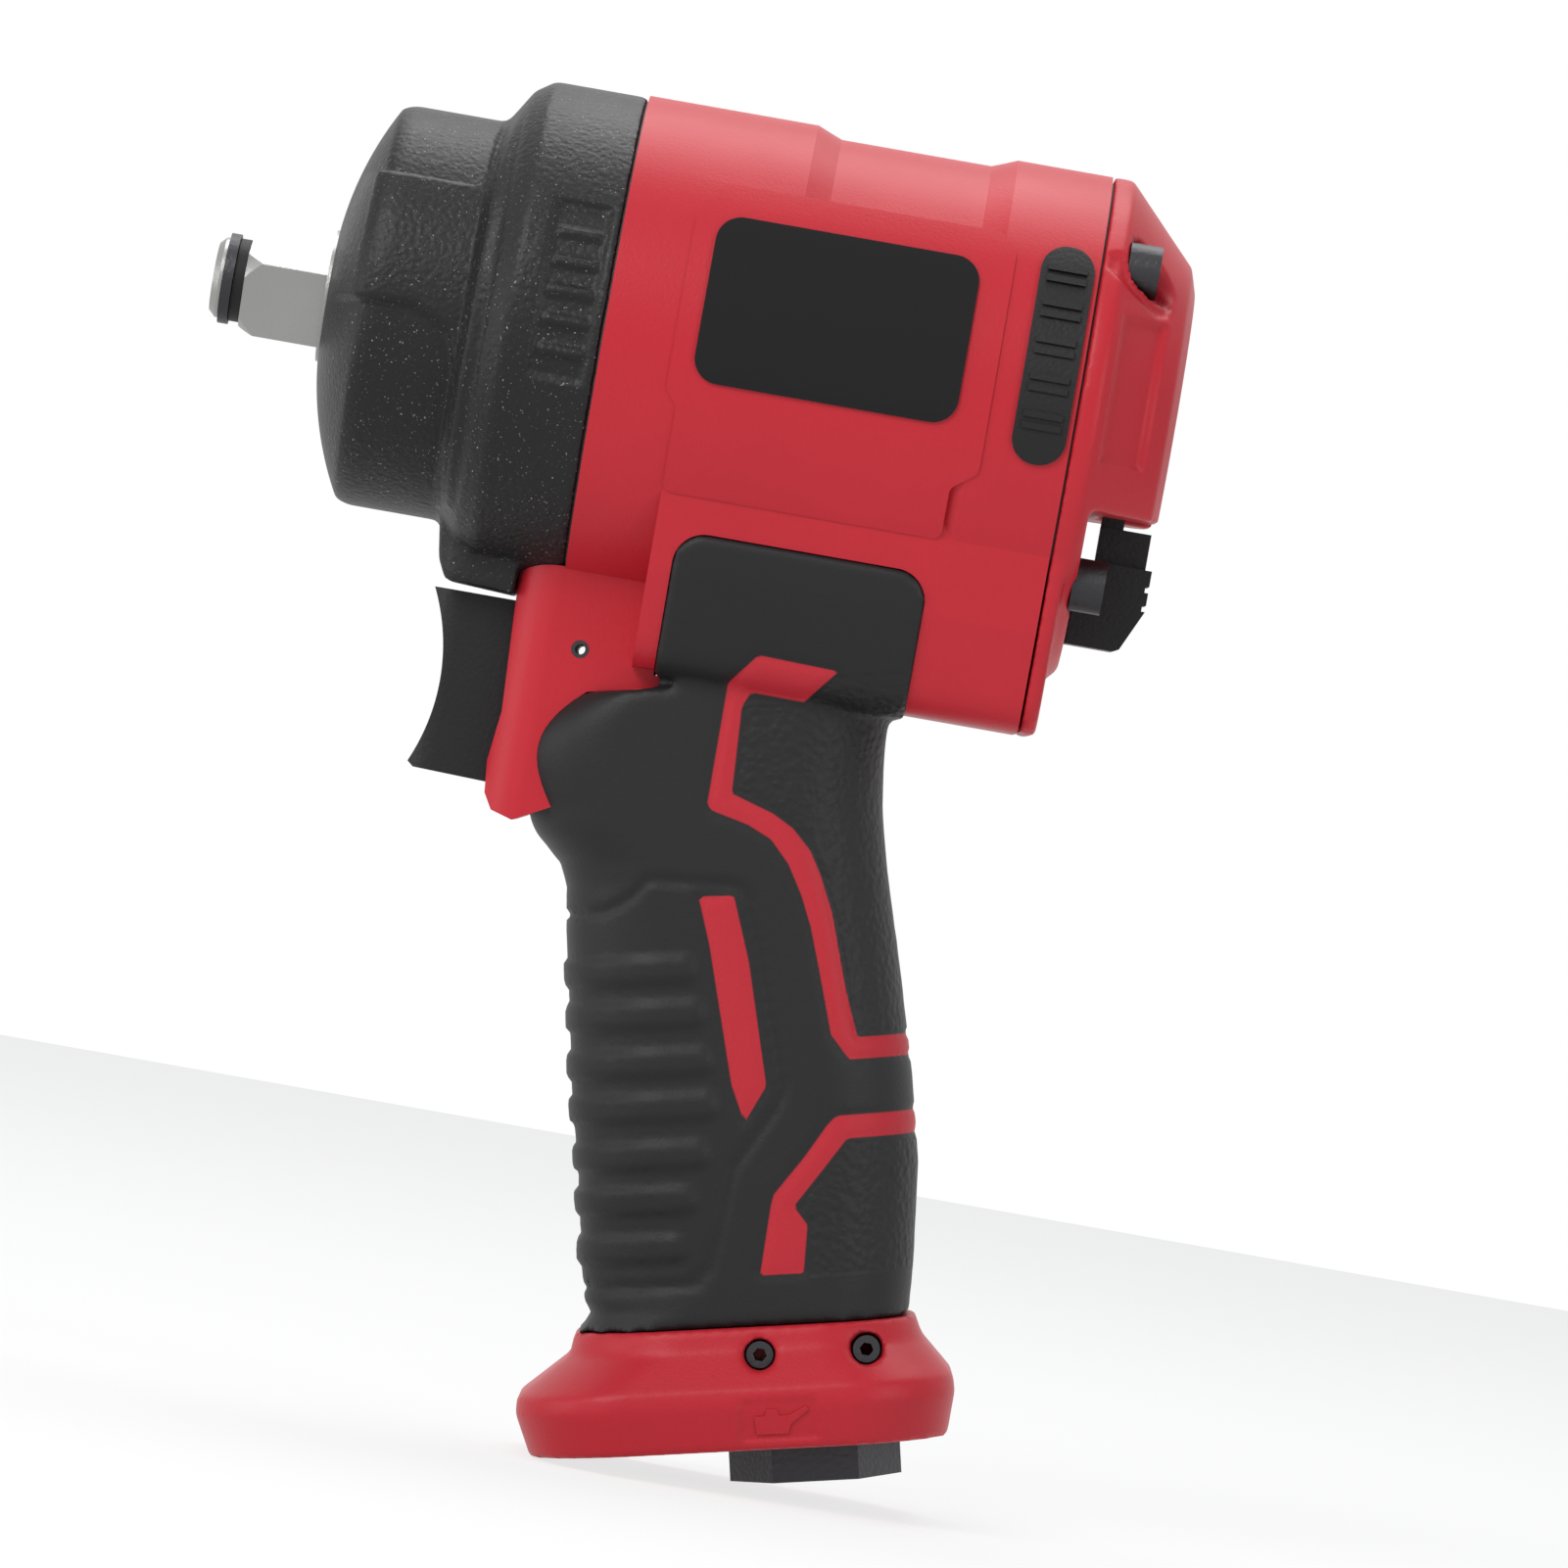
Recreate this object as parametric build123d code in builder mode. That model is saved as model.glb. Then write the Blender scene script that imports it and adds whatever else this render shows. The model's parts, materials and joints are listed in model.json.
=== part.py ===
"""Compact pistol-grip air impact wrench with a 1/2 inch square drive.

Frame: X runs along the drive axis with the nose towards -X, Y is across and Z is up.
The origin is on the drive axis at the root of the square, where a socket stops.
The handle has a frame of its own, leaning back by handle_rake: u runs to the rear, w runs up.
"""
import os
from math import cos, radians, sin

from build123d import *

os.makedirs("parts", exist_ok=True)

# ---------------------------------------------------------------- driving sizes (mm, degrees)
# anvil and square drive
square_size = 12.7
square_length = 13.0
square_turn = 26.0
square_corner_radius = 8.9
tip_radius = 6.4
tip_length = 5.0
groove_radius = 5.0
ring_radius = 7.2
shank_radius = 10.5
jaw_radius = 13.5
jaw_width = 7.0
pilot_radius = 5.0

# hammer case
nose_radius = 32.0
nose_start = 7.0
nose_end = 23.5
flange_radius = 39.6
flange_start = 30.0
case_end = 44.7
bushing_start = 2.5
bushing_end = 16.0
bushing_wall = 3.5
chamber_radius = 27.0
chin_half_width = 15.0

# hammer mechanism
frame_radius = 26.0
frame_start = 17.5
frame_end = 41.0
frame_plate = 3.0
frame_rear_plate = 4.0
hub_radius = 12.0
hub_end = 45.0
pin_radius = 2.5
pin_circle = 19.2
hammer_radius = 23.8
hammer_gap = 0.3

# motor
gasket = 0.3
housing_end = 119.2
barrel_radius = 40.0
waist_radius = 38.4
motor_radius = 31.0
rotor_radius = 24.0
cylinder_bore = 27.0
cylinder_start = 52.0
cylinder_end = 108.0
plate_start = case_end + gasket + 0.2
rear_plate_end = 114.0
bearing_radius = 15.0
bearing_width = 5.0
journal_radius = 7.5
vane_count = 6
vane_thickness = 2.4
vane_depth = 10.0

# through bolts
bolt_circle = 35.3
bolt_radius = 2.3
bolt_start = 32.0
bolt_head_radius = 4.2
bolt_head_height = 5.0
bolt_pocket = 123.5

# rear cover and reverse lever
cover_flange = 2.5
cover_end = 135.2
cover_cut = 124.0
cover_floor = -13.5
cover_top_end = 28.0
valve_radius = 11.0
lever_start = 127.0
lever_arm_half = 3.5
window_half = 12.0
window_top = -8.0
paddle_half = 6.5
paddle_top = -20.5
paddle_bottom = -34.0

# lower body, trigger and throttle
body_bottom = -49.5
guard_half_width = 17.0
trigger_half_width = 8.5
trigger_back = 46.0
trigger_travel = 6.0
pocket_back = 54.0
pin_x = 49.5
pin_z = -48.3
trigger_pin_radius = 1.4
rod_radius = 2.0
rod_z = -60.0
rod_tip = 61.5
throttle_bore = 7.0
throttle_end = 80.0
throttle_valve_radius = 5.2

# handle, grip and foot
handle_x = 69.0
handle_rake = 13.0
grip_half_width = 22.0
grip_wall = 3.0
grip_bottom = -150.0
grip_sections = [(-150.0, -35.8, 16.6), (-120.0, -35.0, 19.0), (-92.0, -34.7, 17.4), (-78.0, -35.6, 16.5),
                 (-66.0, -40.0, 16.6), (-49.4, -33.0, 20.0)]
saddle_box = (61.5, 101.3, -60.0, -27.5)
saddle_corner = 5.0
saddle_proud = 0.8
foot_u = (-32.6, 13.4)
foot_half_width = 18.5
foot_end = -161.0
deflector_end = -169.0
deflector_floor = 2.5
deflector_sections = [(-150.0, -36.5, 17.2, 23.2), (-153.5, -37.5, 18.2, 24.0), (-159.5, -46.0, 22.6, 28.6),
                      (-162.0, -46.4, 22.8, 29.0), (-169.0, -44.5, 21.2, 27.6)]
inlet_u = 0.25
inlet_radius = 10.95
inlet_top = -131.5
inlet_hex = 23.5
hex_length = 6.1
thread_radius = 5.85
thread_length = 12.0
air_radius = 5.0

# side trim
panel_radius = 40.3
trim_radius = 40.8
rib_radius = 41.1

# named clearances
press_fit = 0.02
running_fit = 0.06
loose_fit = 0.3

# ---------------------------------------------------------------- shared frames and helpers
rake = radians(handle_rake)
handle = Plane(origin=(handle_x, 0, 0), x_dir=(cos(rake), 0, sin(rake)), z_dir=(-sin(rake), 0, cos(rake)))


def rod_x(start, end, radius, y=0, z=0, mode=Mode.ADD):
    """A round bar along X, added to the part being built."""
    with BuildSketch(Plane.YZ.offset(start)) as circle:
        with Locations((y, z)):
            Circle(radius)
    extrude(circle.sketch, amount=end - start, mode=mode)


def rod_w(start, end, radius, u=0, mode=Mode.ADD):
    """A round bar along the handle."""
    with BuildSketch(handle.offset(start)) as circle:
        with Locations((u, 0)):
            Circle(radius)
    extrude(circle.sketch, amount=end - start, mode=mode)


def turned(points, mode=Mode.ADD):
    """A body of revolution about the drive axis from (x, radius) points."""
    with BuildSketch(Plane.XZ) as half:
        with BuildLine():
            Polyline(*points, close=True)
        make_face()
    revolve(half.sketch, axis=Axis.X, mode=mode)


def slab(points, half_width, corner=0.0, mode=Mode.ADD):
    """A side outline in (x, z) pulled both ways along Y."""
    with BuildSketch(Plane.XZ) as side:
        with BuildLine():
            Polyline(*points, close=True)
        make_face()
        if corner:
            fillet(side.vertices(), corner)
    extrude(side.sketch, amount=half_width, both=True, mode=mode)


def block(x_range, y_range, z_range, mode=Mode.ADD):
    """A box between two corners."""
    with BuildSketch(Plane.XY.offset(z_range[0])) as base:
        with Locations(((x_range[0] + x_range[1]) / 2, (y_range[0] + y_range[1]) / 2)):
            Rectangle(x_range[1] - x_range[0], y_range[1] - y_range[0])
    extrude(base.sketch, amount=z_range[1] - z_range[0], mode=mode)


def plan_rounding(x_range, half_width, radius, z_range):
    """Keeps only what lies inside a round-cornered plan view."""
    with BuildSketch(Plane.XY.offset(z_range[0])) as plan:
        with Locations(((x_range[0] + x_range[1]) / 2, 0)):
            RectangleRounded(x_range[1] - x_range[0], 2 * half_width, radius)
    extrude(plan.sketch, amount=z_range[1] - z_range[0], mode=Mode.INTERSECT)


def handle_slice(w, u_front, u_rear, half_width, radius):
    """One round-cornered cross section of the handle, as a sketch."""
    with BuildSketch(handle.offset(w)) as section:
        with Locations(((u_front + u_rear) / 2, 0)):
            RectangleRounded(u_rear - u_front, 2 * half_width, radius)
    return section.sketch


def handle_prism(w_range, u_range, half_width, radius, mode=Mode.ADD):
    """A straight length of the handle's direction with one cross section."""
    extrude(handle_slice(w_range[0], *u_range, half_width, radius), amount=w_range[1] - w_range[0], mode=mode)


def lower_body(start, end, extra, mode=Mode.ADD):
    """The tapered body under the barrel, grown or shrunk by extra."""
    with BuildSketch(Plane.YZ.offset(start)) as section:
        with BuildLine():
            Polyline((-36 - extra, -10), (36 + extra, -10), (31 + extra, -34), (24.5 + extra, body_bottom - extra),
                     (-24.5 - extra, body_bottom - extra), (-31 - extra, -34), close=True)
        make_face()
        fillet(section.vertices().group_by(Axis.Z)[0], 8)
    extrude(section.sketch, amount=end - start, mode=mode)


bolt_offset = bolt_circle * cos(radians(45))
bolt_places = [(y * bolt_offset, z * bolt_offset) for y in (-1, 1) for z in (-1, 1)]

# ---------------------------------------------------------------- anvil
with BuildPart() as anvil:
    with BuildSketch(Plane.YZ.offset(-square_length)) as square:
        Rectangle(square_size, square_size, rotation=square_turn)
    extrude(square.sketch, amount=square_length)
    turned([(-square_length, 0), (-square_length, 7.2), (-square_length + 2.5, square_corner_radius),
            (0, square_corner_radius), (0, 0)], mode=Mode.INTERSECT)
    tip_end = -square_length - tip_length
    turned([(tip_end, 0), (tip_end, tip_radius - 1), (tip_end + 1, tip_radius), (tip_end + 1.5, tip_radius),
            (tip_end + 1.5, groove_radius), (-square_length, groove_radius), (-square_length, 0)])
    rod_x(0, frame_end - frame_rear_plate + 0.7, shank_radius)
    block((21, 36.5), (-jaw_width / 2, jaw_width / 2), (-jaw_radius, jaw_radius))
    rod_x(frame_end - frame_rear_plate, frame_end - 0.6, pilot_radius)
    rod_x(frame_end - frame_rear_plate - loose_fit, frame_end - frame_rear_plate + 1, shank_radius + 1,
          mode=Mode.SUBTRACT)
    rod_x(frame_end - frame_rear_plate - loose_fit - 0.01, frame_end - 0.6, pilot_radius)

with BuildPart() as socket_ring:
    rod_x(-square_length - 3.4, -square_length - 1.8, ring_radius)
    rod_x(-square_length - 3.4, -square_length - 1.8, groove_radius + 0.1, mode=Mode.SUBTRACT)
    block((-17, -14), (-0.8, 0.8), (-8, 0), mode=Mode.SUBTRACT)

with BuildPart() as ring_cushion:
    rod_x(-square_length - 1.7, -square_length - 0.1, ring_radius - 0.6)
    rod_x(-square_length - 1.7, -square_length - 0.1, groove_radius + 0.1, mode=Mode.SUBTRACT)

# ---------------------------------------------------------------- hammer case
bushing_radius = shank_radius + running_fit + bushing_wall
with BuildPart() as hammer_case:
    slab([(24, -20), (24, -32), (25, -38), (26.5, -41), (37.7, -41.6), (37.7, -36.2), (case_end, -35), (case_end, -20)],
         chin_half_width)
    plan_rounding((24, 60), chin_half_width, 6, (-50, 0))
    with BuildSketch(Plane.XZ) as nose:
        with BuildLine():
            front = ThreePointArc((0.4, shank_radius), (2.2, 20), (nose_start, nose_radius - 0.6))
            Polyline(front @ 1, (nose_start + 2, nose_radius), (nose_end, nose_radius), (27, flange_radius - 2),
                     (flange_start, flange_radius), (case_end, flange_radius), (case_end, 0), (0.4, 0), front @ 0)
        make_face()
    revolve(nose.sketch, axis=Axis.X)
    rod_x(-1, bushing_end + 1, shank_radius + loose_fit, mode=Mode.SUBTRACT)
    rod_x(bushing_start, bushing_end + 1, bushing_radius + press_fit, mode=Mode.SUBTRACT)
    rod_x(bushing_end, case_end, chamber_radius, mode=Mode.SUBTRACT)
    for y, z in bolt_places:
        rod_x(bolt_start - 1, case_end, bolt_radius + press_fit, y, z, mode=Mode.SUBTRACT)

with BuildPart() as anvil_bushing:
    rod_x(bushing_start, bushing_end, bushing_radius)
    rod_x(bushing_start, bushing_end, shank_radius + running_fit, mode=Mode.SUBTRACT)

# ---------------------------------------------------------------- hammer mechanism
with BuildPart() as hammer_frame:
    rod_x(frame_start, frame_end, frame_radius)
    rod_x(frame_start + frame_plate, frame_end - frame_rear_plate, hammer_radius + 0.5, mode=Mode.SUBTRACT)
    for side in (-1, 1):
        block((frame_start + frame_plate, frame_end - frame_rear_plate), (-30, 30), sorted((side * 13, side * 30)),
              mode=Mode.SUBTRACT)
    rod_x(frame_end, hub_end, hub_radius)
    rod_x(frame_end + 0.5, hub_end, journal_radius + press_fit, mode=Mode.SUBTRACT)
    rod_x(frame_start, frame_start + frame_plate, shank_radius + running_fit, mode=Mode.SUBTRACT)
    rod_x(frame_end - frame_rear_plate, frame_end - 0.3, pilot_radius + running_fit, mode=Mode.SUBTRACT)
    for side in (-1, 1):
        rod_x(frame_start, frame_end, pin_radius + press_fit, 0, side * pin_circle, mode=Mode.SUBTRACT)

with BuildPart() as hammer_pins:
    for side in (-1, 1):
        rod_x(frame_start + 0.1, frame_end - 0.1, pin_radius, 0, side * pin_circle)

hammer_room = frame_end - frame_rear_plate - frame_start - frame_plate
hammer_length = (hammer_room - 3 * hammer_gap) / 2
hammer_starts = [frame_start + frame_plate + hammer_gap + i * (hammer_length + hammer_gap) for i in (0, 1)]
hammers = []
for start, side in zip(hammer_starts, (1, -1)):
    with BuildPart() as hammer:
        rod_x(start, start + hammer_length, hammer_radius)
        rod_x(start, start + hammer_length, jaw_radius + 1.0, mode=Mode.SUBTRACT)
        rod_x(start, start + hammer_length, pin_radius + running_fit, 0, side * pin_circle, mode=Mode.SUBTRACT)
        rod_x(start, start + hammer_length, pin_radius + 0.7, 0, -side * pin_circle, mode=Mode.SUBTRACT)
    hammers.append(hammer)
front_hammer, rear_hammer = hammers

# ---------------------------------------------------------------- motor
with BuildPart() as rotor:
    rod_x(cylinder_start + loose_fit, cylinder_end - loose_fit, rotor_radius)
    rod_x(frame_end + 0.6, rear_plate_end - 0.5, journal_radius)
    for i in range(vane_count):
        with BuildSketch(Plane.YZ.offset(cylinder_start)) as slot:
            with PolarLocations(rotor_radius - vane_depth / 2 + 1, 1, start_angle=i * 360 / vane_count):
                Rectangle(vane_depth + 2, vane_thickness + 2 * press_fit)
        extrude(slot.sketch, amount=cylinder_end - cylinder_start, mode=Mode.SUBTRACT)

with BuildPart() as vanes:
    for i in range(vane_count):
        with BuildSketch(Plane.YZ.offset(cylinder_start + 0.4)) as blade:
            with PolarLocations(rotor_radius - vane_depth / 2 + 0.1, 1, start_angle=i * 360 / vane_count):
                Rectangle(vane_depth - 0.4, vane_thickness)
        extrude(blade.sketch, amount=cylinder_end - cylinder_start - 0.8)

bore_rise = cylinder_bore - rotor_radius - loose_fit
with BuildPart() as cylinder:
    rod_x(cylinder_start, cylinder_end, motor_radius)
    rod_x(cylinder_start, cylinder_end, cylinder_bore, 0, bore_rise, mode=Mode.SUBTRACT)

end_plates = []
for start, end, bearing in ((plate_start, cylinder_start, plate_start),
                            (cylinder_end, rear_plate_end, rear_plate_end - bearing_width)):
    with BuildPart() as plate:
        rod_x(start, end, motor_radius)
        rod_x(start, end, journal_radius + 1.5, mode=Mode.SUBTRACT)
        rod_x(bearing, bearing + bearing_width, bearing_radius + press_fit, mode=Mode.SUBTRACT)
    with BuildPart() as ring:
        rod_x(bearing, bearing + bearing_width, bearing_radius)
        rod_x(bearing, bearing + bearing_width, journal_radius + running_fit, mode=Mode.SUBTRACT)
    end_plates.append((plate, ring))
(front_end_plate, front_bearing), (rear_end_plate, rear_bearing) = end_plates

# ---------------------------------------------------------------- grip, handle core and motor housing
with BuildPart() as grip_shape:
    loft([handle_slice(w, front, rear, grip_half_width, 15) for w, front, rear in reversed(grip_sections)])

with BuildPart() as saddle_shape:
    lower_body(saddle_box[0] - 1, saddle_box[1] + 1, saddle_proud)
    with BuildSketch(Plane.XZ) as saddle_side:
        with Locations(((saddle_box[0] + saddle_box[1]) / 2, (saddle_box[2] + saddle_box[3]) / 2)):
            RectangleRounded(saddle_box[1] - saddle_box[0], saddle_box[3] - saddle_box[2], saddle_corner)
    extrude(saddle_side.sketch, amount=50, both=True, mode=Mode.INTERSECT)

with BuildPart() as saddle_core:
    lower_body(saddle_box[0] - 1, saddle_box[1] + 1, saddle_proud - grip_wall)

with BuildPart() as handle_core:
    loft([handle_slice(w, front + grip_wall, rear - grip_wall, grip_half_width - grip_wall, 12)
          for w, front, rear in reversed(grip_sections)])
    handle_prism((foot_end, grip_bottom), foot_u, foot_half_width, 12)

with BuildPart() as trigger_space:
    block((30, pocket_back), (-trigger_half_width - 0.5, trigger_half_width + 0.5), (-72.2, -42.0))
    block((pocket_back - 1, 60.2), (-4.5, 4.5), (-51.8, -44.8))
    rod_x(pocket_back - 1, throttle_end, throttle_bore + press_fit, 0, rod_z)

with BuildPart() as guard:
    slab([(37.8, -36.3), (45.1, -35.1), (45.1, -25), (75, -25), (75, -60), (43.5, -76.5), (40, -75.5), (38.5, -73),
          (38, -68), (39, -60), (38.5, -50)], guard_half_width)
    plan_rounding((37.8, 100), guard_half_width, 7, (-80, -20))

with BuildPart() as side_panel:
    rod_x(56, 106, panel_radius)
    slab([(59, 27), (59, 24), (55, 20), (55, -5), (58, -9), (58, -22), (102, -22), (102, -14), (106, -11), (106, 24),
          (103, 27)], 50, corner=1.5, mode=Mode.INTERSECT)

housing_start = case_end + gasket
with BuildPart() as motor_housing:
    turned([(housing_start, 0), (housing_start, barrel_radius), (72, barrel_radius), (76, waist_radius),
            (100, waist_radius), (104, barrel_radius), (housing_end, barrel_radius), (housing_end, 0)])
    add(side_panel.part)
    lower_body(58, housing_end, 0)
    add(guard.part)
    rod_x(flange_start, housing_start, flange_radius + 0.1, mode=Mode.SUBTRACT)
    add(grip_shape.part, mode=Mode.SUBTRACT)
    add(saddle_shape.part, mode=Mode.SUBTRACT)
    lower_body(saddle_box[0] - 1, saddle_box[1] + 1, saddle_proud - grip_wall)
    add(handle_core.part)
    rod_x(housing_start, housing_end, motor_radius + press_fit, mode=Mode.SUBTRACT)
    add(trigger_space.part, mode=Mode.SUBTRACT)
    rod_w(foot_end, inlet_top, inlet_radius + press_fit, inlet_u, mode=Mode.SUBTRACT)
    rod_w(inlet_top - 0.5, -58, air_radius + 1, inlet_u, mode=Mode.SUBTRACT)
    for y, z in bolt_places:
        rod_x(housing_start, housing_end, bolt_radius + loose_fit, y, z, mode=Mode.SUBTRACT)
    with BuildSketch(Plane.XZ) as pin_hole:
        with Locations((pin_x, pin_z)):
            Circle(trigger_pin_radius + press_fit)
    extrude(pin_hole.sketch, amount=40, both=True, mode=Mode.SUBTRACT)

with BuildPart() as grip_overmold:
    add(grip_shape.part)
    add(saddle_shape.part)
    add(handle_core.part, mode=Mode.SUBTRACT)
    add(saddle_core.part, mode=Mode.SUBTRACT)
    add(trigger_space.part, mode=Mode.SUBTRACT)
    rod_x(housing_start, housing_end, barrel_radius, mode=Mode.SUBTRACT)

# ---------------------------------------------------------------- gaskets, cover, bolts and reverse lever
gaskets = []
for start in (case_end, housing_end):
    with BuildPart() as sheet:
        rod_x(start, start + gasket, flange_radius - 0.6)
        rod_x(start, start + gasket, motor_radius + 0.4, mode=Mode.SUBTRACT)
        for y, z in bolt_places:
            rod_x(start, start + gasket, bolt_radius + loose_fit, y, z, mode=Mode.SUBTRACT)
    gaskets.append(sheet)
front_gasket, rear_gasket = gaskets

cover_start = housing_end + gasket
with BuildPart() as rear_cover:
    turned([(cover_start, 0), (cover_start, barrel_radius), (cover_start + 3, barrel_radius),
            (cover_end - 1.2, cover_top_end), (cover_end, cover_top_end - 4), (cover_end, 0)])
    lower_body(cover_start, cover_start + cover_flange, 0)
    block((cover_cut, 140), (-50, 50), (-60, cover_floor), mode=Mode.SUBTRACT)
    rod_x(cover_start, cover_cut, 24, mode=Mode.SUBTRACT)
    rod_x(cover_cut - 1, 131, valve_radius + 1.3, mode=Mode.SUBTRACT)
    block((lever_start - 0.4, 140), (-window_half, window_half), (-20, window_top), mode=Mode.SUBTRACT)
    for y, z in bolt_places:
        rod_x(cover_start, 140, bolt_radius + loose_fit, y, z, mode=Mode.SUBTRACT)
        rod_x(bolt_pocket, 140, bolt_head_radius + 0.6, y, z, mode=Mode.SUBTRACT)

with BuildPart() as through_bolts:
    for y, z in bolt_places:
        rod_x(bolt_start, bolt_pocket, bolt_radius, y, z)
        rod_x(bolt_pocket, bolt_pocket + bolt_head_height, bolt_head_radius, y, z)
        with BuildSketch(Plane.YZ.offset(bolt_pocket + 2)) as socket:
            with Locations((y, z)):
                RegularPolygon(2.3, 6)
        extrude(socket.sketch, amount=bolt_head_height, mode=Mode.SUBTRACT)

with BuildPart() as reverse_bushing:
    rod_x(rear_plate_end, housing_end - 0.1, motor_radius)
    rod_x(rear_plate_end, housing_end - 0.1, valve_radius + running_fit, mode=Mode.SUBTRACT)

with BuildPart() as reverse_valve:
    rod_x(rear_plate_end + 0.4, lever_start, valve_radius)
    rod_x(rear_plate_end + 0.4, lever_start - 2, valve_radius - 5, mode=Mode.SUBTRACT)

with BuildPart() as reverse_lever:
    slab([(lever_start + 0.4, paddle_top), (136, paddle_top), (136, -27), (133, paddle_bottom + 0.5),
          (132, paddle_bottom), (cover_cut + 0.5, paddle_bottom), (cover_cut + 0.5, paddle_top)], paddle_half)
    for rib_z in (-23.5, -26.5, -29.5):
        block((136 - 0.6, 137), (-paddle_half, paddle_half), (rib_z - 0.5, rib_z + 0.5), mode=Mode.SUBTRACT)
    block((lever_start, 135), (-4, 4), (paddle_top - 0.1, -14.8))
    block((lever_start, 130.5), (-lever_arm_half, lever_arm_half), (-15, 0))
    rod_x(lever_start, 130.5, valve_radius)

# ---------------------------------------------------------------- trigger and throttle
with BuildPart() as trigger:
    with BuildSketch(Plane.XZ) as trigger_side:
        with BuildLine():
            finger = ThreePointArc((25, -42.4), (28.4, -56), (25.5, -70.2))
            Polyline(finger @ 1, (26.5, -71), (trigger_back, -71.6), (trigger_back, -51.3), (53.4, -51.3),
                     (53.4, -45.3), (trigger_back, -45.3), (trigger_back, -42.4), finger @ 0)
        make_face()
    extrude(trigger_side.sketch, amount=trigger_half_width, both=True)
    plan_rounding((24.5, 70), trigger_half_width, 5, (-80, -40))
    for side in (-1, 1):
        block((trigger_back, 60), sorted((side * 4, side * 12)), (-52, -44), mode=Mode.SUBTRACT)
    slab([(pin_x - trigger_travel - 1.7, pin_z - 1.7), (pin_x - trigger_travel - 1.7, pin_z + 1.7),
          (pin_x + 1.7, pin_z + 1.7), (pin_x + 1.7, pin_z - 1.7)], 20, mode=Mode.SUBTRACT)
    rod_x(trigger_back - 6, trigger_back, rod_radius + press_fit, 0, rod_z, mode=Mode.SUBTRACT)

with BuildPart() as trigger_pin:
    with BuildSketch(Plane.XZ) as pin_round:
        with Locations((pin_x, pin_z)):
            Circle(trigger_pin_radius)
            Circle(trigger_pin_radius - 0.6, mode=Mode.SUBTRACT)
    extrude(pin_round.sketch, amount=guard_half_width, both=True)

with BuildPart() as trigger_rod:
    rod_x(trigger_back - 5.9, rod_tip, rod_radius, 0, rod_z)

with BuildPart() as throttle_bushing:
    rod_x(pocket_back + 0.3, rod_tip - 1, throttle_bore, 0, rod_z)
    rod_x(pocket_back + 0.3, rod_tip - 1, rod_radius + running_fit, 0, rod_z, mode=Mode.SUBTRACT)

with BuildPart() as throttle_valve:
    rod_x(rod_tip + 0.3, rod_tip + 4.3, throttle_valve_radius, 0, rod_z)
    rod_x(rod_tip + 4.3, rod_tip + 9, rod_radius, 0, rod_z)

with BuildPart() as throttle_spring:
    rod_x(rod_tip + 4.6, throttle_end - 0.2, throttle_valve_radius - 0.4, 0, rod_z)
    rod_x(rod_tip + 4.6, throttle_end - 0.2, rod_radius + 0.5, 0, rod_z, mode=Mode.SUBTRACT)

# ---------------------------------------------------------------- foot of the grip
with BuildPart() as exhaust_deflector:
    loft([handle_slice(w, front, rear, half, 17) for w, front, rear, half in deflector_sections], ruled=True)
    handle_prism((deflector_end + deflector_floor, grip_bottom + 1), (foot_u[0] - 0.1, foot_u[1] + 0.1),
                 foot_half_width + 0.1, 12, mode=Mode.SUBTRACT)
    rod_w(deflector_end - 1, deflector_end + 5, inlet_radius + loose_fit, inlet_u, mode=Mode.SUBTRACT)
    for u in (-30, -25, -20):
        handle_prism((deflector_end - 1, deflector_end + 5), (u - 1.4, u + 1.4), 11, 1.3, mode=Mode.SUBTRACT)
    for u in (-7.5, 9.2):
        with BuildSketch(Plane(origin=handle.from_local_coords(Vector(u, 0, -154.3)), x_dir=(1, 0, 0),
                               z_dir=(0, 1, 0))) as recess:
            Circle(2.5)
        extrude(recess.sketch, amount=35, both=True, mode=Mode.SUBTRACT)

with BuildPart() as muffler_felt:
    handle_prism((deflector_end + deflector_floor + 0.1, foot_end - 0.1), (foot_u[0] + 0.2, foot_u[1] - 0.2),
                 foot_half_width - 0.2, 11.8)
    rod_w(deflector_end, foot_end + 1, inlet_radius + loose_fit, inlet_u, mode=Mode.SUBTRACT)

with BuildPart() as deflector_screws:
    for u in (-7.5, 9.2):
        for side in (-1, 1):
            with BuildSketch(Plane(origin=handle.from_local_coords(Vector(u, side * (foot_half_width + 0.2), -154.3)),
                                   x_dir=(1, 0, 0), z_dir=(0, side, 0))) as head:
                Circle(2.1)
                RegularPolygon(1.1, 6, mode=Mode.SUBTRACT)
            extrude(head.sketch, amount=4.6)

with BuildPart() as inlet_bushing:
    rod_w(deflector_end - 0.1, inlet_top - 0.3, inlet_radius, inlet_u)
    with BuildSketch(handle.offset(deflector_end - 0.1 - hex_length)) as nut:
        with Locations((inlet_u, 0)):
            RegularPolygon(inlet_hex / 2, 6, major_radius=False)
    extrude(nut.sketch, amount=hex_length)
    hex_end = deflector_end - 0.1 - hex_length
    rod_w(hex_end, hex_end + thread_length, thread_radius, inlet_u, mode=Mode.SUBTRACT)
    rod_w(hex_end, inlet_top, air_radius, inlet_u, mode=Mode.SUBTRACT)

# ---------------------------------------------------------------- side trim
with BuildPart() as label_plates:
    rod_x(59.5, 101, trim_radius)
    rod_x(59.5, 101, panel_radius + press_fit, mode=Mode.SUBTRACT)
    with BuildSketch(Plane.XZ) as label:
        with Locations((80.25, 8.75)):
            RectangleRounded(41.4, 26.5, 4)
    extrude(label.sketch, amount=50, both=True, mode=Mode.INTERSECT)

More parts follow.
